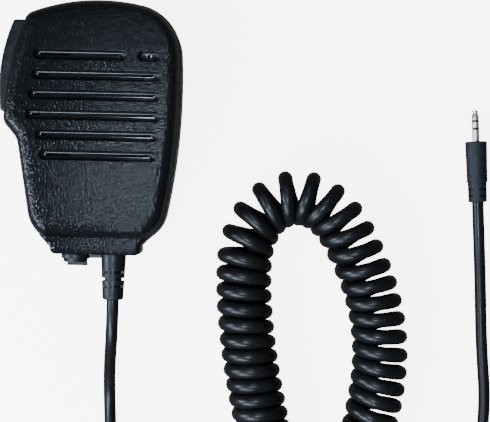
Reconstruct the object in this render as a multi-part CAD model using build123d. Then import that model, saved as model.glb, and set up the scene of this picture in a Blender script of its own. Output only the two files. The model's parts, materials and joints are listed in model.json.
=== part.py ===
"""Hand microphone with a talk paddle, a rear belt clip, a curly cord and a small three-contact plug.

Millimetres. +X is the holder's right when the grille faces them, +Y points to the top of the case, +Z comes
out of the grille. The case lies on its belt clip, so z = 0 is the clip's outer face. The drawing below is set
out from the case's centre line and is moved to the centre of the base on export.
"""
from build123d import *
import math
import os

# ---------------------------------------------------------------- driving dimensions
CASE_TOP, CASE_BOTTOM = 42.7, -42.7
CASE_RIGHT, PADDLE_LEFT = 27.3, -33.8
CORD_BOOT_END = -58.0

CLIP_DEPTH = 10.0                 # from the clip's outer face to the rear of the case
PART_LINE = 21.5                  # height of the joint between the two shells
LIP_HEIGHT = 27.6                 # underside of the front lip that hoods the paddle
FACE_HEIGHT = 35.0                # flat of the grille face
WALL = 2.2
FRONT_TAPER, REAR_TAPER = 14.0, 8.0
EDGE_RADIUS, REAR_EDGE = 3.8, 3.0
BROW_START, BROW_DROP = 25.8, 2.8 # where the face starts to slope away at the top, and how far it drops

CHIN_FRONT, CHIN_REAR = 29.5, 13.5
CHIN_LEFT, CHIN_RIGHT = -15.3, 15.0

SLOT_PITCH, SLOT_RADIUS, SLOT_RIM, SLIT = 6.63, 1.55, 0.5, 0.5
SLOT_TOP = 23.4
SLOT_ENDS = [(-21.0, 9.3), (-21.5, 20.8), (-22.5, 20.9), (-23.3, 20.9), (-20.0, 20.4), (-18.4, 19.7)]
MIC_SLOT_ENDS = (13.3, 20.5)

PADDLE_LOW, PADDLE_HIGH = 14.9, 27.3
PADDLE_PIVOT = (-23.6, 32.8)
PIN_RADIUS = 0.75
PLUNGER_Y, PLUNGER_Z, PLUNGER_RADIUS = 9.0, 21.1, 1.5
RUNNING = 0.05                    # radial clearance of a pin that turns

SPEAKER = (-1.0, 7.0)
SPEAKER_RADIUS = 18.0
MIC_CAPSULE = (16.9, SLOT_TOP)
BOARD_LOW, BOARD_HIGH = 15.0, 16.2

SWIVEL = (0.0, 2.0)
JAW_LOW, JAW_HIGH = 6.6, 8.6      # the clip's inner jaw
LEVER_THICK = 2.0
CLIP_PIVOT = (16.0, 4.4)          # y and z of the lever's pin

JACK_X, CORD_X = -7.3, 5.6
EXIT_HEIGHT = 21.5
LEAD_RADIUS = 2.15
COIL_RADIUS = 9.8
FLOOR_GAP = 0.05

PLUG_RADIUS = 3.85
PLUG_END = (131.6, -22.0)
PLUG_TURN = 3.0
PIN_R = 1.25

MIC_LEAD_ROUTE = [
    (CORD_X, CORD_BOOT_END, EXIT_HEIGHT), (CORD_X, -68.0, EXIT_HEIGHT), (CORD_X - 1.6, -81.5, 10.5),
    (3.5, -94.5, 2.2), (4.6, -113.0, 2.2), (20.0, -128.6, 2.2), (41.6, -130.4, 2.2), (63.0, -125.4, 2.2),
]
COIL_ROUTE = [
    (62.5, -123.0), (58.2, -105.0), (52.2, -77.0), (49.6, -53.0), (50.4, -36.0), (58.2, -23.9), (70.8, -20.9),
    (81.8, -27.6), (89.6, -41.5), (95.8, -57.5), (98.4, -76.0), (95.8, -97.0), (90.5, -120.0),
]
PLUG_LEAD_ROUTE = [
    (89.7, -122.5, 17.2), (105.5, -125.5, 13.0), (121.5, -124.0, 2.2), (134.0, -111.5, 2.2),
    (136.2, -94.0, 2.2), (134.2, -72.0, 2.2), (133.4, -51.0, 2.2), (132.35, -36.0, PLUG_RADIUS),
    (PLUG_END[0], PLUG_END[1], PLUG_RADIUS),
]

CENTRE_X = (CASE_RIGHT + PADDLE_LEFT) / 2
CENTRE_Y = (CASE_TOP + CORD_BOOT_END) / 2


# ---------------------------------------------------------------- small tools
def save(name, *solids):
    """Writes one node, moved from the drawing's centre line to the centre of the object's base."""
    moved = [Pos(-CENTRE_X, -CENTRE_Y, 0) * solid for solid in solids]
    export_step(moved[0] if len(moved) == 1 else Compound(children=moved), f"parts/{name}.step")


def rod(start, end, radius, end_radius=None):
    """A round bar, or a cone when end_radius is given, from one point to another."""
    start, end = Vector(*start), Vector(*end)
    length = (end - start).length
    middle = Plane(origin=start, z_dir=end - start)
    align = (Align.CENTER, Align.CENTER, Align.MIN)
    if end_radius is None:
        return middle * Cylinder(radius, length, align=align)
    return middle * Cone(radius, end_radius, length, align=align)


def ring(start, end, radius, bore):
    return rod(start, end, radius) - rod(start, end, bore)


def block(low, high):
    """A box given by two opposite corners."""
    size = [b - a for a, b in zip(low, high)]
    return Pos(*low) * Box(*size, align=(Align.MIN, Align.MIN, Align.MIN))


def raised(face, low, high):
    return extrude(Pos(0, 0, low) * face, amount=high - low)


def domed(outline, base, top, taper):
    """A tapering cap on a straight wall. It starts a little inside the wall it joins."""
    start = base - 0.5 if top > base else base + 0.5
    return extrude(Pos(0, 0, start) * outline, amount=top - start, taper=taper)


def tube(route, radius):
    """A cord along straight runs joined by arcs, each as large as its two runs allow."""
    points = [Vector(*p) for p in route]
    radii = []
    for a, b, c in zip(points, points[1:], points[2:]):
        turn = math.radians((b - a).get_angle(c - b))
        radii.append(0.45 * min((b - a).length, (c - b).length) / math.tan(turn / 2))
    path = FilletPolyline(*points, radius=radii)
    solid = sweep(Plane(origin=path @ 0, z_dir=path % 0) * Circle(radius), path=path)
    share = solid.volume / (math.pi * radius ** 2 * path.length)
    print("radii", [round(r, 1) for r in radii])
    print("length", round(path.length, 1), "volume share", round(share, 3))
    return solid


# ---------------------------------------------------------------- the case
def case_outline():
    """Seen from the front: a bowed top, sides that draw in to the chin, and a hump on the left."""
    top_left, top_right = (-24.8, 37.7), (26.4, 37.1)
    foot_right, foot_left = (22.4, -33.0), (-22.3, -33.2)
    edge = ThreePointArc(top_right, (0, CASE_TOP), top_left)
    edge += ThreePointArc(top_left, (-30.1, 19.4), (-32.0, 1.4))
    edge += Polyline((-32.0, 1.4), (-27.2, -4.2), foot_left, (-17.2, -37.6), (16.8, -37.6), foot_right)
    edge += ThreePointArc(foot_right, (CASE_RIGHT, 2.0), top_right)
    face = make_face(edge)
    radii = {top_left: 5, top_right: 17, foot_right: 12, (16.8, -37.6): 3, (-17.2, -37.6): 3,
             foot_left: 12, (-27.2, -4.2): 6, (-32.0, 1.4): 5}
    for corner, radius in radii.items():
        nearest = face.vertices().sort_by_distance((*corner, 0))[0]
        face = fillet(nearest, radius)
    return face


def inside(outline, distance):
    """The outline drawn again further in, in plain lines and arcs."""
    edges = []
    for edge in offset(outline, -distance).edges():
        start, middle, end = edge @ 0, edge @ 0.5, edge @ 1
        straight = edge.geom_type == GeomType.LINE
        edges.append(Line(start, end) if straight else ThreePointArc(start, middle, end))
    return make_face(edges)


def chin(low, high):
    """The narrow block that holds the earphone socket and the cord's boot. It flares into the case."""
    plan = Polyline((-19.0, -30.0), (-19.0, -36.4), (CHIN_LEFT, -40.4), (CHIN_LEFT, CASE_BOTTOM),
                    (CHIN_RIGHT, CASE_BOTTOM), (CHIN_RIGHT, -39.4), (18.0, -36.4), (18.0, -30.0), close=True)
    solid = raised(make_face(plan), low, high)
    return fillet(solid.edges().filter_by(Axis.Z).group_by(Axis.Y)[0], 2.0)


def chin_room(low, high):
    return block((CHIN_LEFT + WALL, CASE_BOTTOM + WALL, low), (CHIN_RIGHT - WALL, -30.0, high))


def paddle_bay(grow=0.0):
    """The pocket in the left side that the talk paddle sits in, or one larger by the wall around it."""
    low, high = 3.9 - grow, 36.3 + grow
    step, back, deep_back = 29.2 - grow, -26.4 + grow, -21.0 + grow
    plan = Polyline((-40, low), (back, low), (back, step), (deep_back, step), (deep_back, high), (-40, high),
                    close=True)
    return raised(make_face(plan), PADDLE_LOW - 0.3 - grow, LIP_HEIGHT + grow)


def screw_places():
    return [(-14.0, 33.6), (18.6, 31.0), (16.0, -29.0), (-16.0, -29.0)]


def slot_rows():
    """Each groove's left and right end and its height up the face; the last is over the microphone."""
    rows = [(left, right, SLOT_TOP - row * SLOT_PITCH) for row, (left, right) in enumerate(SLOT_ENDS)]
    return rows + [(*MIC_SLOT_ENDS, SLOT_TOP)]


def grille_face(outline):
    """The hood of the front shell: a flat face with round-bottomed grooves and a brow that slopes away."""
    hood = domed(outline, LIP_HEIGHT, FACE_HEIGHT, FRONT_TAPER)
    over, low = FACE_HEIGHT + 1, FACE_HEIGHT - BROW_DROP
    rise = 0.25 * BROW_DROP
    middle = (BROW_START + CASE_TOP) / 2
    brow = Polyline((BROW_START, FACE_HEIGHT), (BROW_START, over), (CASE_TOP + 2, over), (CASE_TOP + 2, low),
                    (CASE_TOP, low))
    brow += ThreePointArc((CASE_TOP, low), (middle, FACE_HEIGHT - rise), (BROW_START, FACE_HEIGHT))
    hood -= extrude(Plane.YZ * make_face(brow), amount=45, both=True)
    rim = [edge for edge in hood.edges() if edge.center().Z > low - 0.5]
    hood = fillet([edge for edge in rim if abs(edge.center().Y - BROW_START) > 0.1], EDGE_RADIUS)
    for left, right, y in slot_rows():
        hood -= rod((left + SLOT_RADIUS, y, FACE_HEIGHT), (right - SLOT_RADIUS, y, FACE_HEIGHT), SLOT_RADIUS)
        hood -= Pos(left + SLOT_RADIUS, y, FACE_HEIGHT) * Sphere(SLOT_RADIUS)
        hood -= Pos(right - SLOT_RADIUS, y, FACE_HEIGHT) * Sphere(SLOT_RADIUS)
    return fillet([edge for edge in hood.edges() if is_slot_rim(edge)], SLOT_RIM)


def is_slot_rim(edge):
    place = edge.center()
    return (edge.bounding_box().min.Z > FACE_HEIGHT - 0.01 and -24.5 < place.X < 21.5
            and any(abs(place.Y - y) < 1.7 for left, right, y in slot_rows()))


def front_shell(outline):
    chin_block = chin(PART_LINE, CHIN_FRONT)
    front_rim = [edge for edge in chin_block.faces().sort_by(Axis.Z)[-1].edges() if edge.center().Y < -31]
    chin_block = fillet(front_rim, 1.6)
    body = raised(outline, PART_LINE, LIP_HEIGHT) + grille_face(outline) + chin_block
    low_room = raised(inside(outline, WALL), PART_LINE, 29.5)
    high_room = raised(inside(outline, 5.6), 29.5, FACE_HEIGHT - 2.4)
    high_room -= block((-40, BROW_START + 5.5, 30.6), (40, 50, 40))
    room = (low_room + high_room) - paddle_bay(1.6)
    for x, y in screw_places():
        room -= rod((x, y, PART_LINE), (x, y, FACE_HEIGHT), 3.0)
    room += chin_room(PART_LINE, CHIN_FRONT - 2.0)
    body = body - room - paddle_bay()
    for left, right, y in slot_rows()[:-1]:
        slit = Pos((left + right) / 2, y) * SlotOverall(right - left - 4, SLIT)
        body -= raised(slit, FACE_HEIGHT - 3, FACE_HEIGHT)
    body -= rod((*MIC_CAPSULE, FACE_HEIGHT - 3), (*MIC_CAPSULE, FACE_HEIGHT), 0.6)
    for x, y in screw_places():
        body -= rod((x, y, PART_LINE), (x, y, 30.0), 2.0)
    body -= rod((*PADDLE_PIVOT, PART_LINE), (*PADDLE_PIVOT, 29.0), PIN_RADIUS)
    return body - chin_holes()


def chin_holes():
    """Holes for the socket's nose, the cord's boot and the cap's anchor, and the plunger's in the side."""
    wall_in, wall_out = CASE_BOTTOM + 3, CASE_BOTTOM - 1
    holes = rod((JACK_X, wall_in, EXIT_HEIGHT), (JACK_X, wall_out, EXIT_HEIGHT), 3.0)
    holes += rod((CORD_X, wall_in, EXIT_HEIGHT), (CORD_X, wall_out, EXIT_HEIGHT), 3.6)
    holes += rod((-0.9, wall_in, EXIT_HEIGHT), (-0.9, wall_out, EXIT_HEIGHT), 1.0)
    return holes + rod((-28, PLUNGER_Y, PLUNGER_Z), (-20, PLUNGER_Y, PLUNGER_Z), PLUNGER_RADIUS + RUNNING)


def rear_shell(outline):
    wall = raised(outline, 14.6, PART_LINE)
    back = domed(outline, 14.6, CLIP_DEPTH, REAR_TAPER)
    back = fillet(back.faces().sort_by(Axis.Z)[0].edges(), REAR_EDGE)
    body = wall + back + chin(CHIN_REAR, PART_LINE)
    room = raised(inside(outline, WALL), 14.6, PART_LINE) + raised(inside(outline, 5.0), 12.2, 14.6)
    room -= paddle_bay(1.6)
    for x, y in screw_places():
        room -= rod((x, y, CLIP_DEPTH), (x, y, PART_LINE), 3.0)
    for x, y in board_screw_places():
        room -= rod((x, y, CLIP_DEPTH), (x, y, BOARD_LOW), 2.4)
    room -= rod((*SWIVEL, CLIP_DEPTH), (*SWIVEL, 14.7), 4.2)
    room += chin_room(CHIN_REAR + 2.0, PART_LINE)
    body = body - room - paddle_bay()
    for x, y in screw_places():
        body -= rod((x, y, CLIP_DEPTH), (x, y, PART_LINE), 1.3)
        body -= rod((x, y, CLIP_DEPTH), (x, y, 12.4), 2.5)
    for x, y in board_screw_places():
        body -= rod((x, y, 12.6), (x, y, BOARD_LOW), 1.0)
    body -= rod((*SWIVEL, CLIP_DEPTH - 1), (*SWIVEL, 11.2), 10.4)
    body -= rod((*SWIVEL, 11.0), (*SWIVEL, 15.0), 2.2)
    body -= rod((*PADDLE_PIVOT, 12.6), (*PADDLE_PIVOT, PART_LINE), PIN_RADIUS)
    return body - chin_holes()


def shell_seal(outline):
    """A rubber cord in the joint, just inside the wall."""
    loop = raised(inside(outline, WALL + 0.05), PART_LINE - 0.5, PART_LINE + 0.5)
    loop -= raised(inside(outline, WALL + 0.95), PART_LINE - 1, PART_LINE + 1)
    loop -= block((-17.0, -45.0, 10.0), (17.0, -31.0, 40.0))
    return (loop - paddle_bay(1.8)).solids()


# ---------------------------------------------------------------- talk paddle
def talk_paddle():
    x, y = PADDLE_PIVOT
    plan = Polyline((-29.2, 35.8), (x, 35.8), (x, 30.8), (-27.4, 29.6), (-28.2, 27.0), (-28.7, 4.7),
                    (-33.2, 4.7))
    plan += ThreePointArc((-33.2, 4.7), (-33.1, 22.0), (-29.2, 35.8))
    face = make_face(plan)
    for corner, radius in (((-29.2, 35.8), 1.2), ((-33.2, 4.7), 1.4)):
        face = fillet(face.vertices().sort_by_distance((*corner, 0))[0], radius)
    body = raised(face, PADDLE_LOW, PADDLE_HIGH)
    body = fillet(body.edges().filter_by(lambda e: e.center().X < -30 and e.length > 20), 1.0)
    body += rod((x, y, PADDLE_LOW), (x, y, PADDLE_HIGH), 2.0)
    return body - rod((x, y, 10), (x, y, 30), PIN_RADIUS + RUNNING)


def switch_plunger():
    """A stepped pin through the case wall, from the paddle's back to the switch."""
    def along(start, end, radius, end_radius=None):
        return rod((start, PLUNGER_Y, PLUNGER_Z), (end, PLUNGER_Y, PLUNGER_Z), radius, end_radius)
    nose = along(-28.35, -27.9, 0.8, PLUNGER_RADIUS)
    return nose + along(-27.9, -24.6, PLUNGER_RADIUS) + along(-24.6, -24.1, 2.2)


# ---------------------------------------------------------------- inside the case
def board_screw_places():
    return [(-13.5, -18.0), (13.5, 17.0)]


def speaker_ring(low, high, outer, inner):
    return ring((*SPEAKER, low), (*SPEAKER, high), outer, inner)


def speaker_parts():
    x, y = SPEAKER
    frame = speaker_ring(30.4, 31.4, SPEAKER_RADIUS, SPEAKER_RADIUS - 2.5)
    outside = rod((x, y, 25.0), (x, y, 30.4), 10.0, SPEAKER_RADIUS - 1.2)
    inside = rod((x, y, 25.8), (x, y, 30.4), 9.6, SPEAKER_RADIUS - 2.5)
    save("speaker_frame", frame + (outside - inside))
    save("speaker_magnet", fillet(rod((x, y, 19.0), (x, y, 25.0), 9.5).edges(), 0.5))
    cone = rod((x, y, 27.2), (x, y, 30.6), 6.0, 15.2) - rod((x, y, 27.6), (x, y, 30.6), 5.8, 14.8)
    save("speaker_cone", cone + rod((x, y, 27.2), (x, y, 27.7), 6.0))
    save("speaker_gasket", speaker_ring(31.4, 32.0, SPEAKER_RADIUS, SPEAKER_RADIUS - 2.5))
    save("speaker_cloth", rod((x, y, 32.0), (x, y, 32.5), SPEAKER_RADIUS + 0.5))
    clamps, posts, screws = [], [], []
    for angle in (100, 200, 340):
        turn = Pos(x, y) * Rot(0, 0, angle)
        foot = block((16.6, -2, 29.6), (22.4, 2, 30.4)) - rod((20.4, 0, 29), (20.4, 0, 31), 0.8)
        post = ring((20.4, 0, 30.4), (20.4, 0, FACE_HEIGHT - 2.4), 1.8, 0.8)
        screw = rod((20.4, 0, 28.4), (20.4, 0, 29.6), 1.5) + rod((20.4, 0, 29.6), (20.4, 0, 32.4), 0.8)
        clamps.append(turn * (foot - rod((0, 0, 29), (0, 0, 30.5), 16.8)))
        posts.append(turn * (post - rod((0, 0, 30), (0, 0, 33), SPEAKER_RADIUS + 0.6)))
        screws.append(turn * screw)
    save("speaker_clamps", *clamps)
    save("speaker_posts", *posts)
    save("speaker_screws", *screws)


def microphone_parts():
    x, y = MIC_CAPSULE
    save("mic_capsule", rod((x, y, 29.4), (x, y, 32.0), 3.0))
    holder = rod((x, y, 28.6), (x, y, FACE_HEIGHT - 2.4), 4.0) - rod((x, y, 29.4), (x, y, 32.0), 3.0)
    save("mic_holder", holder - rod((x, y, 31), (x, y, 33), 0.6) - rod((x, y, 28), (x, y, 30), 1.2))


def circuit_parts():
    plate = block((-18, -27, BOARD_LOW), (18, 24, BOARD_HIGH))
    plate += block((-23.4, 2, BOARD_LOW), (-17, 16, BOARD_HIGH))
    for x, y in board_screw_places():
        plate -= rod((x, y, 14), (x, y, 17), 1.05)
    for x, y in screw_places():
        plate -= rod((x, y, 14), (x, y, 17), 3.4)
    save("circuit_board", plate)
    chips = [block((4, -18, BOARD_HIGH), (11, -11, 17.6)), block((-6, -8, BOARD_HIGH), (-1, -4, 17.2)),
             rod((13, -5, BOARD_HIGH), (13, -5, 22), 2.5), rod((-13, -4, BOARD_HIGH), (-13, -4, 20), 2.0),
             block((2, -25.5, BOARD_HIGH), (9, -21.5, 20.0)), block((-12, 19, BOARD_HIGH), (-5, 22.5, 19.5))]
    save("board_parts", *chips)
    screws = []
    for x, y in board_screw_places():
        screws.append(rod((x, y, BOARD_HIGH), (x, y, 17.5), 1.9) + rod((x, y, 12.8), (x, y, BOARD_HIGH), 1.0))
    save("board_screws", *screws)
    save("talk_switch", block((-22.6, 5.5, BOARD_HIGH), (-19.0, 12.5, 24.2)))


def socket_parts():
    body = block((JACK_X - 4.4, -37.8, 17.4), (JACK_X + 4.4, -27.4, 25.6))
    nose = rod((JACK_X, -37.8, EXIT_HEIGHT), (JACK_X, CASE_BOTTOM, EXIT_HEIGHT), 3.0)
    bore = rod((JACK_X, -29.0, EXIT_HEIGHT), (JACK_X, CASE_BOTTOM - 1, EXIT_HEIGHT), 1.8)
    save("earphone_socket", body + nose - bore)
    pins = [block((JACK_X + dx - 0.4, -33, 15.6), (JACK_X + dx + 0.4, -32, 17.4)) for dx in (-3, 0, 3)]
    save("socket_pins", *pins)
    y = CASE_BOTTOM - 0.15
    cap = rod((JACK_X, y, EXIT_HEIGHT), (JACK_X, y - 1.3, EXIT_HEIGHT), 4.8)
    cap += rod((JACK_X, y - 1.3, EXIT_HEIGHT), (JACK_X, y - 2.6, EXIT_HEIGHT), 4.2, 3.9)
    cap += block((JACK_X - 2.6, y - 3.7, EXIT_HEIGHT - 1.6), (JACK_X + 4.0, y - 2.6, EXIT_HEIGHT + 1.6))
    cap += rod((JACK_X, y, EXIT_HEIGHT), (JACK_X, y + 4.6, EXIT_HEIGHT), 1.7)
    save("socket_cap", cap)
    anchor = rod((-0.9, -40.9, EXIT_HEIGHT), (-0.9, y - 1.1, EXIT_HEIGHT), 1.0)
    strap = block((JACK_X + 4.9, y - 1.1, EXIT_HEIGHT - 1.6), (1.3, y - 0.1, EXIT_HEIGHT + 1.6))
    save("cap_strap", anchor + strap)


def boot_parts():
    def along(start, end, radius, end_radius=None):
        return rod((CORD_X, start, EXIT_HEIGHT), (CORD_X, end, EXIT_HEIGHT), radius, end_radius)
    end = CORD_BOOT_END
    boot = along(-38.6, -40.4, 4.9) + along(-40.4, -42.8, 3.6) + along(-42.8, end, 4.25, 3.55)
    boot = fillet(boot.faces().sort_by(Axis.Y)[0].edges(), 0.8)
    for y, side in ((-48.6, 1), (-51.0, 0), (-53.4, 1)):
        cut = block((CORD_X - 6, y - 0.45, EXIT_HEIGHT - 6), (CORD_X + 6, y + 0.45, EXIT_HEIGHT + 6))
        keep = Rot(0, 90 * side, 0) * Box(2.0, 4, 14)
        boot -= cut - along(y + 1, y - 1, 2.9) - Pos(CORD_X, y, EXIT_HEIGHT) * keep
    boot -= along(-37, end - 1, LEAD_RADIUS)
    save("cord_boot", boot)
    clamp = along(-34.4, -37.2, 3.6) - along(-34, -38, LEAD_RADIUS)
    foot = block((CORD_X + 2.6, -37.2, 19.0), (12.6, -34.4, 20.4)) - along(-34, -38, 3.0)
    post = rod((11.0, -35.8, 15.5), (11.0, -35.8, 19.0), 1.4)
    screw_hole = rod((11.0, -35.8, 16), (11.0, -35.8, 21), 0.8)
    save("cord_clamp", (clamp + foot) - screw_hole)
    save("clamp_post", post - screw_hole)
    screw = rod((11.0, -35.8, 20.4), (11.0, -35.8, 21.6), 1.5)
    save("clamp_screw", screw + rod((11.0, -35.8, 17), (11.0, -35.8, 20.4), 0.8))
    wires = []
    for dx, dz in ((-0.8, 0.5), (0.8, 0.5), (0.0, -0.8)):
        x, z = CORD_X + dx, EXIT_HEIGHT + dz
        route = [(x, -34.0, z), (x + dx, -30.5, z - 0.4), (x + dx, -27.9, 19.3), (x + dx, -25.55, 18.6)]
        wires.append(tube(route, 0.4))
    save("cord_wires", *wires)


def fasteners():
    screws, inserts = [], []
    for x, y in screw_places():
        head = rod((x, y, 10.6), (x, y, 12.4), 2.2) - rod((x, y, 10.5), (x, y, 11.4), 0.9)
        screws.append(head + rod((x, y, 12.4), (x, y, 27.0), 1.25))
        inserts.append(ring((x, y, PART_LINE + 1), (x, y, 27.5), 2.0, 1.25))
    save("case_screws", *screws)
    save("screw_inserts", *inserts)


# ---------------------------------------------------------------- belt clip
def clip_parts():
    py, pz = CLIP_PIVOT
    jaw = block((-8.6, -24.0, JAW_LOW), (8.6, 22.0, JAW_HIGH))
    jaw = fillet(jaw.edges().filter_by(Axis.Z), 3.0)
    jaw += rod((*SWIVEL, JAW_HIGH), (*SWIVEL, 11.05), 10.0)
    jaw += block((-8.6 + 2.0, -24.0, 4.3), (8.6 - 2.0, -22.2, JAW_LOW))
    for side in (-1, 1):
        inner, outer = sorted((side * 5.6, side * 7.4))
        jaw += block((inner, py - 2.1, pz), (outer, py + 2.1, JAW_LOW))
        jaw += rod((inner, py, pz), (outer, py, pz), 2.1)
    jaw -= rod((-9, py, pz), (9, py, pz), 1.0)
    jaw -= rod((*SWIVEL, 5), (*SWIVEL, 12), 2.0 + RUNNING) + rod((*SWIVEL, 5), (*SWIVEL, 8.8), 3.7)
    save("clip_jaw", jaw)
    lever = block((-10.5, -26.0, 0), (10.5, 30.0, LEVER_THICK))
    lever = fillet(lever.edges().filter_by(Axis.Z), 5.0)
    lever += block((-6.6, -24.0, LEVER_THICK), (6.6, -22.2, 4.2))
    for side in (-1, 1):
        inner, outer = sorted((side * 7.7, side * 9.5))
        lever += block((inner, py - 1.9, 1.0), (outer, py + 1.9, pz))
        lever += rod((inner, py, pz), (outer, py, pz), 1.9)
    lever -= rod((-10, py, pz), (10, py, pz), 1.0 + RUNNING)
    save("clip_lever", lever)
    save("clip_pin", rod((-9.7, py, pz), (9.7, py, pz), 1.0))
    coils = [rod((x, py, pz), (x + 0.62, py, pz), 1.95) - rod((x, py, pz), (x + 0.62, py, pz), 1.2)
             for x in (-3.2 + 0.7 * i for i in range(9))]
    save("clip_spring", *coils, rod((-2.9, py - 0.2, pz + 1.55), (-2.9, py + 5.0, pz + 1.75), 0.3))
    save("clip_spring_leg", rod((2.7, py + 2.1, pz - 1.9), (2.7, py + 6.0, pz - 2.05), 0.3))
    x, y = SWIVEL
    bolt = rod((x, y, 6.7), (x, y, 8.0), 3.2)
    bolt += rod((x, y, 8.0), (x, y, 11.3), 2.0) + rod((x, y, 11.3), (x, y, 14.4), 1.5)
    save("swivel_screw", bolt - block((x - 2.4, y - 0.4, 6), (x + 2.4, y + 0.4, 7.3)))
    save("swivel_washer", ring((x, y, 8.05), (x, y, 8.75), 3.5, 2.0 + RUNNING))
    save("swivel_insert", ring((x, y, 11.4), (x, y, 14.7), 2.2, 1.5))


# ---------------------------------------------------------------- cord and plug
def cord_parts():
    save("cord_tail", rod((CORD_X, -34.4, EXIT_HEIGHT), (CORD_X, CORD_BOOT_END, EXIT_HEIGHT), LEAD_RADIUS))
    save("mic_lead", tube(MIC_LEAD_ROUTE, LEAD_RADIUS))
    save("curly_cord", tube([(x, y, COIL_RADIUS + FLOOR_GAP) for x, y in COIL_ROUTE], COIL_RADIUS))
    save("plug_lead", tube(PLUG_LEAD_ROUTE, LEAD_RADIUS))


def plug_parts():
    place = Pos(*PLUG_END, PLUG_RADIUS) * Rot(0, 0, PLUG_TURN)

    def along(start, end, radius, end_radius=None):
        return rod((0, start, 0), (0, end, 0), radius, end_radius)
    relief = fillet(along(0, 7.0, 3.25, 3.35).faces().sort_by(Axis.Y)[0].edges(), 0.6)
    for y in (2.2, 4.6):
        for left, right in ((-3.2, -1.7), (0.3, 2.4)):
            relief -= block((left, y - 0.45, 0), (right, y + 0.45, 6)) - along(0, 7, 2.7)
    save("plug_boot", place * relief)
    grip = fillet(along(7.0, 21.4, 3.6, PLUG_RADIUS).edges(), 0.35)
    for low, high, proud in ((9.7, 11.5, 3.84), (8.4, 9.1, 3.76)):
        grip += along(low, high, proud) & block((-0.2, low, 0), (2.7, high, 5))
    save("plug_grip", place * (grip - along(18.0, 22.0, 1.0)))
    save("plug_sleeve", place * (along(18.0, 21.4, 1.0) + along(21.4, 25.5, PIN_R)))
    save("plug_insulators", *[place * along(y, y + 0.7, PIN_R) for y in (25.5, 28.2)])
    save("plug_ring", place * along(26.2, 28.2, PIN_R))
    tip = along(28.9, 30.4, PIN_R) + along(30.4, 31.2, PIN_R, 0.85) + along(31.2, 32.0, 0.85, 1.05)
    save("plug_tip", place * (tip + along(32.0, 32.4, 1.05, 0.6)))


def main():
    os.makedirs("parts", exist_ok=True)
    outline = case_outline()
    save("front_shell", front_shell(outline))
    save("rear_shell", rear_shell(outline))
    save("shell_seal", *shell_seal(outline))
    save("talk_paddle", talk_paddle())
    save("paddle_pin", rod((*PADDLE_PIVOT, 12.8), (*PADDLE_PIVOT, 28.8), PIN_RADIUS))
    save("switch_plunger", switch_plunger())
    speaker_parts()
    microphone_parts()
    circuit_parts()
    socket_parts()
    boot_parts()
    fasteners()
    clip_parts()
    cord_parts()
    plug_parts()


main()
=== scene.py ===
"""Hand microphone lying on a pale table, seen from straight above.

Lengths in the tables below are millimetres, measured from the case's centre line, its mid height and the
belt clip's outer face. The function at() turns them into the frame's metres.
"""
import bisect
import json
import math
import bmesh
import bpy
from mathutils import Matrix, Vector

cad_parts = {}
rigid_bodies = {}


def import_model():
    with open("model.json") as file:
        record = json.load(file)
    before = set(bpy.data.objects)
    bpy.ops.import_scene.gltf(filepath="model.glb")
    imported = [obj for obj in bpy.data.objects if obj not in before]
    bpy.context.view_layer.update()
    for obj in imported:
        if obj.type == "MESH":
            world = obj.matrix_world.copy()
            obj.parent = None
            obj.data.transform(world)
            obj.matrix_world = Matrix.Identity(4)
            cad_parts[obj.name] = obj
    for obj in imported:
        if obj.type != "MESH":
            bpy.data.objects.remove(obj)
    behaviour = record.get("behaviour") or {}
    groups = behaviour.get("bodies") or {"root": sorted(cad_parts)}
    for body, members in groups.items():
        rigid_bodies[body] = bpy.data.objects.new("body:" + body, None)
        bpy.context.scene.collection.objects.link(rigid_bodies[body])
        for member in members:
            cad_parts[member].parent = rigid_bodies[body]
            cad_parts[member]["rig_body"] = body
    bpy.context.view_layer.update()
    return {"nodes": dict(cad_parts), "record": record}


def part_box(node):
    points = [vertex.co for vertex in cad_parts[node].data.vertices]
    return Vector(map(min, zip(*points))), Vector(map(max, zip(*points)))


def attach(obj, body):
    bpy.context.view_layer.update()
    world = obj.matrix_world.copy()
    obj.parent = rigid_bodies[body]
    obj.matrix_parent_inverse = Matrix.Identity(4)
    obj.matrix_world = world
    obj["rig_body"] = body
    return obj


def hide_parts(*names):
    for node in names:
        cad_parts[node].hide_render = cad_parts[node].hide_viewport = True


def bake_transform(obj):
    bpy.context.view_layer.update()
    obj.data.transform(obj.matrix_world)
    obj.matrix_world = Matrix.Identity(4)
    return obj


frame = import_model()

MM = 0.001
NODES = frame["nodes"]
MERGE_DISTANCE = 2e-6


# ---------------------------------------------------------------- places
def middle(node):
    low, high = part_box(node)
    return (Vector(low) + Vector(high)) / 2


CENTRE_LINE = middle("swivel_screw") - Vector((0, 2.0 * MM, 0))


def at(x, y, z):
    """A place given in millimetres from the case's centre line, in the frame's metres."""
    return Vector((CENTRE_LINE.x + x * MM, CENTRE_LINE.y + y * MM, z * MM))


# ---------------------------------------------------------------- small tools
def link(name, data):
    piece = bpy.data.objects.new(name, data)
    bpy.context.scene.collection.objects.link(piece)
    return piece


def smooth_copy(name, node, angle):
    """A copy of a CAD node with its vertices merged and its shading smooth up to an angle."""
    source = NODES[node]
    mesh = source.data.copy()
    mesh.name = name
    bm = bmesh.new()
    bm.from_mesh(mesh)
    bmesh.ops.remove_doubles(bm, verts=bm.verts, dist=MERGE_DISTANCE)
    bmesh.ops.recalc_face_normals(bm, faces=bm.faces)
    for face in bm.faces:
        face.smooth = True
    for edge in bm.edges:
        sharp = len(edge.link_faces) != 2 or edge.calc_face_angle(0.0) > math.radians(angle)
        edge.smooth = not sharp
    bm.to_mesh(mesh)
    bm.free()
    if "custom_normal" in mesh.attributes:
        mesh.attributes.remove(mesh.attributes["custom_normal"])
    piece = link(name, mesh)
    even = piece.modifiers.new("even_shading", "WEIGHTED_NORMAL")
    even.keep_sharp = True
    even.weight = 90
    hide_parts(node)
    return piece


def dress(piece, material):
    piece.data.materials.clear()
    piece.data.materials.append(material)


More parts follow.
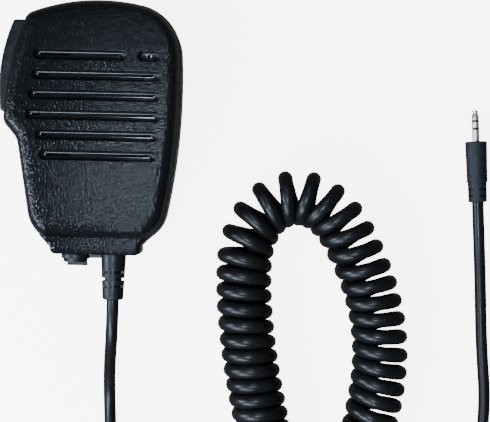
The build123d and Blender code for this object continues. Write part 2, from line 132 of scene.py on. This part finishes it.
# ---------------------------------------------------------------- materials
COOL_SHEEN = (0.80, 0.90, 1.0, 1)    # black plastics and rubbers shine a little blue
WEAK_SHINE = 1.38                    # index of refraction of all plastics and rubbers here
# The face below the grille is a shallow dish. The CAD face is flat, so the dish is shaded only.
DISH_CENTRE = (18, -5, 35)
DISH_RADIUS, DOME_RADIUS = 0.11, 0.25


class Surface:
    """A principled material with a few helpers for the nodes that feed it."""

    def __init__(self, name):
        self.material = bpy.data.materials.new(name)
        self.material.use_nodes = True
        self.tree = self.material.node_tree
        self.shader = self.tree.nodes["Principled BSDF"]
        self.place = self.node("ShaderNodeTexCoord").outputs["Object"]

    def node(self, kind, **settings):
        node = self.tree.nodes.new(kind)
        for key, value in settings.items():
            setattr(node, key, value)
        return node

    def join(self, output, socket):
        self.tree.links.new(output, socket)

    def set(self, **values):
        for key, value in values.items():
            self.shader.inputs[key.replace("_", " ")].default_value = value

    def noise(self, scale, detail):
        node = self.node("ShaderNodeTexNoise")
        node.inputs["Scale"].default_value = scale
        node.inputs["Detail"].default_value = detail
        self.join(self.place, node.inputs["Vector"])
        return node.outputs["Fac"]

    def cells(self, scale):
        node = self.node("ShaderNodeTexVoronoi", feature="F1")
        node.inputs["Scale"].default_value = scale
        self.join(self.place, node.inputs["Vector"])
        return node.outputs["Distance"]

    def rounded(self, distance):
        """Turns the cone over each cell into a bowl."""
        node = self.node("ShaderNodeMath", operation="POWER")
        node.inputs[1].default_value = 2.0
        self.join(distance, node.inputs[0])
        return node.outputs[0]

    def ramp(self, value, low, high):
        """Maps the middle of a noise's values onto the range from low to high."""
        node = self.node("ShaderNodeMapRange", clamp=True)
        node.inputs["From Min"].default_value = 0.3
        node.inputs["From Max"].default_value = 0.7
        node.inputs["To Min"].default_value = low
        node.inputs["To Max"].default_value = high
        self.join(value, node.inputs["Value"])
        return node.outputs["Result"]

    def colour(self, value, dark, light):
        """Base colour that wanders between two colours with a noise's value."""
        node = self.node("ShaderNodeMix", data_type="RGBA")
        self.join(self.ramp(value, 0, 1), node.inputs["Factor"])
        colours = [socket for socket in node.inputs if socket.type == "RGBA"]
        for socket, colour in zip(colours, (dark, light)):
            socket.default_value = (*colour, 1)
        result = next(socket for socket in node.outputs if socket.type == "RGBA")
        self.join(result, self.shader.inputs["Base Color"])

    def roughness(self, value, low, high):
        self.join(self.ramp(value, low, high), self.shader.inputs["Roughness"])

    def swell(self, centre, hollow_radius, dome_radius, after):
        """Shades a flat face as if it were slightly hollow from side to side and domed from top to bottom."""
        away = self.node("ShaderNodeVectorMath", operation="SUBTRACT")
        away.inputs[1].default_value = centre
        self.join(self.place, away.inputs[0])
        squared = self.node("ShaderNodeVectorMath", operation="MULTIPLY")
        self.join(away.outputs["Vector"], squared.inputs[0])
        self.join(away.outputs["Vector"], squared.inputs[1])
        height = self.node("ShaderNodeVectorMath", operation="DOT_PRODUCT")
        height.inputs[1].default_value = (0.5 / hollow_radius, -0.5 / dome_radius, 0)
        self.join(squared.outputs["Vector"], height.inputs[0])
        self.bump(height.outputs["Value"], 1.0, 1.0, after)

    def bump(self, height, distance, strength, after=None):
        """Adds a bump on top of an earlier one; the last one made is what the shader uses."""
        node = self.node("ShaderNodeBump")
        node.inputs["Distance"].default_value = distance
        node.inputs["Strength"].default_value = strength
        self.join(height, node.inputs["Height"])
        if after:
            self.join(after, node.inputs["Normal"])
        self.join(node.outputs["Normal"], self.shader.inputs["Normal"])
        return node.outputs["Normal"]


def grained_plastic(name, dark, light, grain_mm=0.68, depth_mm=0.14, low=0.18, high=0.24):
    """Moulded plastic with a coarse, rounded, leather-like grain and a slightly uneven gloss."""
    s = Surface(name)
    wander = s.noise(700.0, 2.0)
    s.colour(wander, dark, light)
    s.roughness(wander, low, high)
    coarse = s.bump(s.rounded(s.cells(1000 / grain_mm)), depth_mm * MM, 1.0)
    fine = s.bump(s.noise(1900 / grain_mm, 2.0), 0.3 * depth_mm * MM, 0.5, coarse)
    s.swell(at(*DISH_CENTRE), DISH_RADIUS, DOME_RADIUS, fine)
    s.set(IOR=WEAK_SHINE, Specular_Tint=COOL_SHEEN)
    return s.material


def plain_plastic(name, dark, light, low=0.3, high=0.45, depth_mm=0.01):
    s = Surface(name)
    s.colour(s.noise(140.0, 4.0), dark, light)
    s.roughness(s.noise(420.0, 5.0), low, high)
    s.bump(s.noise(3500.0, 2.0), depth_mm * MM, 0.6)
    s.set(IOR=WEAK_SHINE, Specular_Tint=COOL_SHEEN)
    return s.material


def metal(name, dark, light, low=0.15, high=0.35):
    s = Surface(name)
    s.colour(s.noise(300.0, 5.0), dark, light)
    s.roughness(s.noise(900.0, 6.0), low, high)
    s.bump(s.noise(4000.0, 3.0), 0.004 * MM, 0.4)
    s.set(Metallic=1.0)
    return s.material


CASE = grained_plastic("case_grain", (0.004, 0.005, 0.0065), (0.006, 0.0075, 0.0095))
GROOVE = plain_plastic("groove_gloss", (0.004, 0.005, 0.0065), (0.006, 0.0075, 0.009), 0.08, 0.12, 0.002)
PADDLE = plain_plastic("paddle_gloss", (0.003, 0.004, 0.005), (0.005, 0.006, 0.0075), 0.25, 0.4, 0.02)
RUBBER = plain_plastic("soft_rubber", (0.005, 0.0065, 0.009), (0.008, 0.0105, 0.014), 0.35, 0.5, 0.02)
CORD = plain_plastic("cord_jacket", (0.004, 0.0042, 0.005), (0.007, 0.0075, 0.009), 0.28, 0.42, 0.008)
GRIP = plain_plastic("plug_grip", (0.009, 0.012, 0.017), (0.012, 0.016, 0.022), 0.5, 0.65, 0.01)
CLIP = plain_plastic("clip_plastic", (0.008, 0.009, 0.010), (0.014, 0.015, 0.017), 0.35, 0.5, 0.01)
INNER = plain_plastic("inner_plastic", (0.03, 0.03, 0.03), (0.05, 0.05, 0.05), 0.4, 0.6)
NICKEL = metal("plug_nickel", (0.78, 0.75, 0.71), (0.88, 0.86, 0.82), 0.34, 0.46)
INSULATOR = plain_plastic("black_insulator", (0.004, 0.004, 0.004), (0.008, 0.008, 0.008), 0.2, 0.3)
STEEL = metal("zinc_steel", (0.42, 0.42, 0.42), (0.55, 0.55, 0.55), 0.3, 0.5)
BRASS = metal("brass", (0.55, 0.36, 0.14), (0.68, 0.47, 0.20), 0.25, 0.4)
MAGNET = metal("magnet_plate", (0.28, 0.28, 0.30), (0.38, 0.38, 0.40), 0.35, 0.5)
CLOTH = plain_plastic("dust_cloth", (0.008, 0.008, 0.008), (0.016, 0.016, 0.016), 0.8, 0.95, 0.05)
PAPER = plain_plastic("cone_paper", (0.03, 0.026, 0.022), (0.05, 0.045, 0.04), 0.75, 0.9, 0.05)
BOARD = plain_plastic("solder_mask", (0.008, 0.05, 0.02), (0.014, 0.075, 0.03), 0.3, 0.45)
CHIPS = plain_plastic("moulded_parts", (0.012, 0.012, 0.012), (0.025, 0.025, 0.025), 0.45, 0.6)

SLOT_MATERIALS = {
    "case_plastic": CASE, "paddle_plastic": PADDLE, "soft_rubber": RUBBER, "cord_rubber": CORD,
    "plug_plastic": GRIP, "clip_plastic": CLIP, "inner_plastic": INNER, "plug_nickel": NICKEL,
    "black_insulator": INSULATOR, "steel": STEEL, "brass_parts": BRASS, "magnet": MAGNET, "cloth": CLOTH,
    "cone_paper": PAPER, "board_green": BOARD, "board_black": CHIPS,
}


# ---------------------------------------------------------------- the cord
MIC_LEAD_ROUTE = [
    (5.6, -58.0, 21.5), (5.6, -68.0, 21.5), (4.0, -81.5, 10.5), (3.5, -94.5, 2.2), (4.6, -113.0, 2.2),
    (20.0, -128.6, 2.2), (41.6, -130.4, 2.2),
]
COIL_ROUTE = [
    (62.5, -123.0), (58.2, -105.0), (52.2, -77.0), (49.6, -53.0), (50.4, -36.0), (58.2, -23.9), (70.8, -20.9),
    (81.8, -27.6), (89.6, -41.5), (95.8, -57.5), (98.4, -76.0), (95.8, -97.0), (90.5, -120.0),
]
PLUG_LEAD_ROUTE = [
    (105.5, -125.5, 13.0), (121.5, -124.0, 2.2), (134.0, -111.5, 2.2), (136.2, -94.0, 2.2),
    (134.2, -72.0, 2.2), (133.4, -51.0, 2.2), (132.35, -36.0, 3.85), (131.6, -22.0, 3.85),
    (131.45, -19.0, 3.85),
]
COIL_AXIS_HEIGHT = 9.9
COIL_MEAN_RADIUS = 7.2
STRAND_RADIUS, LEAD_RADIUS = 2.6, 2.1
# How many turns the coil has made at a distance along its axis: it is wound closer on the straight legs.
TURNS_BY_DISTANCE = [(0.0, 0.25), (28.0, 6.0), (53.6, 11.0), (81.4, 16.0), (115.4, 21.0), (148.6, 26.0),
                     (177.9, 31.0), (194.4, 34.0), (222.8, 38.75)]
GATHER_BY_TURN = [(0, 0.0), (13, 0.0), (17, 0.9), (24, 0.9), (30, 0.6), (40, 0.3)]
POINTS_PER_TURN = 16


def nurbs(name, points, resolution):
    """A curve of one open NURBS spline with these control points."""
    curve = bpy.data.curves.new(name, "CURVE")
    curve.dimensions = "3D"
    spline = curve.splines.new("NURBS")
    spline.points.add(len(points) - 1)
    for target, point in zip(spline.points, points):
        target.co = (*point, 1)
    spline.order_u = 3
    spline.use_endpoint_u = True
    spline.resolution_u = resolution
    return curve, spline


def line_of(curve):
    """The points that a curve passes through, and their distances from its start."""
    holder = link("route_reader", curve)
    bpy.context.view_layer.update()
    mesh = bpy.data.meshes.new_from_object(holder)
    points = [v.co.copy() for v in mesh.vertices]
    bpy.data.objects.remove(holder)
    bpy.data.meshes.remove(mesh)
    distances = [0.0]
    for a, b in zip(points, points[1:]):
        distances.append(distances[-1] + (b - a).length)
    return points, distances


def read_at(points, distances, distance):
    """The place and direction on a line at a distance from its start."""
    i = min(max(bisect.bisect_right(distances, distance) - 1, 0), len(points) - 2)
    step = points[i + 1] - points[i]
    share = (distance - distances[i]) / max(step.length, 1e-9)
    return points[i] + step * min(max(share, 0.0), 1.0), step.normalized()


def distance_of_turn(turn, length):
    """Where along the axis the coil has made this many turns."""
    for (d0, t0), (d1, t1) in zip(TURNS_BY_DISTANCE, TURNS_BY_DISTANCE[1:]):
        if turn <= t1:
            share = (turn - t0) / (t1 - t0)
            return (d0 + (d1 - d0) * share) / TURNS_BY_DISTANCE[-1][0] * length
    return length


def gather(turn):
    """How much a turn's upper and lower strands close up towards its outer end: most round the bend."""
    for (t0, g0), (t1, g1) in zip(GATHER_BY_TURN, GATHER_BY_TURN[1:]):
        if turn <= t1:
            return g0 + (g1 - g0) * (turn - t0) / (t1 - t0)
    return GATHER_BY_TURN[-1][1]


def coil_points():
    """A left-handed helix wound on the coil's route, starting at its underside and ending on its top."""
    axis, _ = nurbs("coil_route", [at(x, y, COIL_AXIS_HEIGHT) for x, y in COIL_ROUTE], 24)
    points, distances = line_of(axis)
    first, last = TURNS_BY_DISTANCE[0][1], TURNS_BY_DISTANCE[-1][1]
    reach = COIL_MEAN_RADIUS * MM / math.cos(math.pi / POINTS_PER_TURN)
    result = []
    count = round((last - first) * POINTS_PER_TURN)
    for i in range(count + 1):
        turn = first + (last - first) * i / count
        angle = 2 * math.pi * turn
        settled = turn - gather(turn) * math.sin(angle) / (2 * math.pi)
        place, direction = read_at(points, distances, distance_of_turn(settled, distances[-1]))
        outward = Vector((-direction.y, direction.x, 0)).normalized()
        result.append(place + reach * (math.cos(angle) * outward - math.sin(angle) * Vector((0, 0, 1))))
    return result


def make_cord():
    """The cord from boot to plug, and the place where it leaves the boot."""
    coil = coil_points()
    mic_lead = [at(*p) for p in MIC_LEAD_ROUTE]
    plug_lead = [at(*p) for p in PLUG_LEAD_ROUTE]
    curve, spline = nurbs("cord", mic_lead + coil + plug_lead, 8)
    curve.bevel_depth = 1.0
    curve.bevel_resolution = 4
    last_coil = len(mic_lead) + len(coil)
    for i, point in enumerate(spline.points):
        inside = len(mic_lead) <= i < last_coil
        point.radius = (STRAND_RADIUS if inside else LEAD_RADIUS) * MM
    curve.use_fill_caps = True
    piece = link("cord", curve)
    curve.materials.append(CORD)
    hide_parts("mic_lead", "curly_cord", "plug_lead")
    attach(piece, "case")
    return piece, mic_lead[0]


# ---------------------------------------------------------------- the case's surfaces
SLOT_PITCH, SLOT_TOP, FACE_HEIGHT = 6.63, 23.4, 35.0
SLOT_ENDS = [(-21.0, 9.3), (-21.5, 20.8), (-22.5, 20.9), (-23.3, 20.9), (-20.0, 20.4), (-18.4, 19.7)]
MIC_SLOT_ENDS = (13.3, 20.5)
SLOTS = [(left, right, SLOT_TOP - row * SLOT_PITCH) for row, (left, right) in enumerate(SLOT_ENDS)]
SLOTS.append((*MIC_SLOT_ENDS, SLOT_TOP))
SLOT_HALF = 1.6
RIM_DEPTH, SLOT_FLOOR = 0.35, 30.0   # the rims keep the case's grain; below them the grooves are glossy


def in_a_slot(place):
    """Whether a place on the front shell is inside one of the grille's grooves."""
    x, y = ((place - CENTRE_LINE) / MM).xy
    if not SLOT_FLOOR * MM < place.z < (FACE_HEIGHT - RIM_DEPTH) * MM:
        return False
    return any(left < x < right and abs(y - row) < SLOT_HALF for left, right, row in SLOTS)


def dress_case(piece):
    """Grain all over, and gloss in the grooves."""
    piece.data.materials.append(GROOVE)
    for face in piece.data.polygons:
        face.material_index = 1 if in_a_slot(face.center) else 0


# ---------------------------------------------------------------- build
# The nodes drawn with smooth shading, and the sharpest angle in degrees that is still smoothed.
SMOOTH_NODES = {
    "front_shell": 26, "rear_shell": 26, "talk_paddle": 26, "cord_boot": 30, "socket_cap": 35,
    "cap_strap": 35, "plug_grip": 30, "plug_boot": 30, "plug_sleeve": 30, "plug_ring": 30, "plug_tip": 30,
    "plug_insulators": 30, "clip_jaw": 30, "clip_lever": 30, "clip_pin": 30, "case_screws": 30,
    "swivel_screw": 30, "clip_spring": 30, "clip_spring_leg": 30, "swivel_washer": 30, "earphone_socket": 30,
    "speaker_cloth": 30,
}
STRETCHED = "cap_strap"              # the tether stays on the case at its anchor and follows the cap at its other end; here it is baked in place on no body
slot_of = {part["node"]: part["material_slot"] for part in frame["record"]["subparts"]}
pieces = {}
for node, angle in SMOOTH_NODES.items():
    pieces[node] = smooth_copy(node + "_look", node, angle)
    dress(pieces[node], SLOT_MATERIALS[slot_of[node]])
    if node != STRETCHED:
        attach(pieces[node], NODES[node]["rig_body"])
dress_case(pieces["front_shell"])
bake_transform(pieces[STRETCHED])
for node, thing in NODES.items():
    if node not in SMOOTH_NODES:
        for i in range(len(thing.material_slots)):
            thing.material_slots[i].material = SLOT_MATERIALS[slot_of[node]]

cord, cord_exit = make_cord()


# ---------------------------------------------------------------- table, lights and camera
def make_table():
    mesh = bpy.data.meshes.new("table")
    reach, level = 1.6, -0.3 * MM
    corners = [(-reach, -reach, level), (reach, -reach, level), (reach, reach, level), (-reach, reach, level)]
    mesh.from_pydata(corners, [], [(0, 1, 2, 3)])
    table = link("table", mesh)
    s = Surface("white_table")
    s.set(Roughness=0.6, Base_Color=(0.93, 0.93, 0.93, 1))
    s.set(Emission_Color=(1, 1, 1, 1), Emission_Strength=6.0)
    table.data.materials.append(s.material)
    table.visible_glossy = False     # the pale floor neither shines in the black sides nor lights them
    table.visible_diffuse = False


# name, place, the place it shines at, its own two side lengths in metres, power in watts
LAMPS = [
    ("key", (-300, -380, 360), (20, -30, 10), (0.25, 0.18), 3.6),
    ("left", (-480, -60, 240), (-10, -20, 10), (0.2, 0.2), 3.0),
    ("overhead", (-20, -74, 560), (5, -22, 10), (0.04, 0.04), 1.6),
    ("streak", (-26, 345, 560), (10, 0, 30), (0.02, 0.03), 0.45),
    ("rims", (-98, -490, 368), (-15, 0, 30), (0.15, 0.05), 1.4),
]
COOL_LIGHT = (0.86, 0.93, 1.0)


def make_lamp(name, place, target, size, power):
    data = bpy.data.lights.new(name, "AREA")
    data.shape = "RECTANGLE"
    data.size, data.size_y = size
    data.energy = power
    data.color = COOL_LIGHT
    lamp = link(name, data)
    lamp.location = at(*place)
    lamp.rotation_euler = (at(*target) - at(*place)).to_track_quat("-Z", "Y").to_euler()


def make_world():
    world = bpy.data.worlds.new("soft_room")
    bpy.context.scene.world = world
    world.use_nodes = True
    background = world.node_tree.nodes["Background"]
    background.inputs["Color"].default_value = (1, 1, 1, 1)
    background.inputs["Strength"].default_value = 0.15


def make_camera():
    data = bpy.data.cameras.new("camera")
    data.sensor_width = 36.0
    data.lens = 103.6
    camera = link("camera", data)
    camera.location = at(49.8, -26.9, 500.0)
    camera.rotation_euler = (0, 0, math.radians(1.3))
    bpy.context.scene.camera = camera


make_table()
make_camera()
for settings in LAMPS:
    make_lamp(*settings)
make_world()
